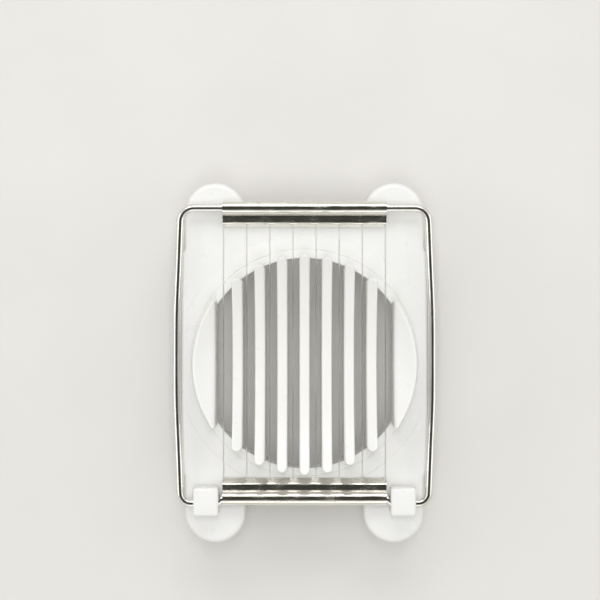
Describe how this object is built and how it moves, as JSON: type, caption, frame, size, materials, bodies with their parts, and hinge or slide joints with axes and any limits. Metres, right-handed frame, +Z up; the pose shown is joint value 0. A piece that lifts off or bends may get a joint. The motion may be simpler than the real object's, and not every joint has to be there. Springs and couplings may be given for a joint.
{
  "type": "egg slicer",
  "caption": "Hinged egg slicer: white plastic base with a slotted concave egg cup, and a wire frame that swings parallel cutting wires through it",
  "frame": {"origin": "under the middle of the base, on the surface that it stands on", "axes": "+Z up, +Y from the hinge to the free end of the frame, +X along the hinge axle"},
  "size_m": [0.0728, 0.1, 0.0307],
  "materials": {
    "white_plastic": "glossy white polypropylene",
    "plated_wire": "bright plated steel wire",
    "bright_sheet": "bright plated sheet steel, slightly wavy",
    "stainless_wire": "drawn stainless wire"
  },
  "bodies": {
    "base": {"base": "white_plastic", "hinge_cap_left": "white_plastic", "hinge_cap_right": "white_plastic"},
    "wire_frame": {"frame_wire": "plated_wire", "far_bar": "bright_sheet", "hinge_bar": "bright_sheet", "cutting_wire_1": "stainless_wire", "cutting_wire_2": "stainless_wire", "cutting_wire_3": "stainless_wire", "cutting_wire_4": "stainless_wire", "cutting_wire_5": "stainless_wire", "cutting_wire_6": "stainless_wire", "cutting_wire_7": "stainless_wire", "cutting_wire_8": "stainless_wire"}
  },
  "joints": [
    {"name": "frame_hinge", "type": "hinge", "parent": "base", "child": "wire_frame", "pos_m": [0, -0.0385, 0.0205], "axis": [1, 0, 0], "range_deg": [0, 180]}
  ]
}
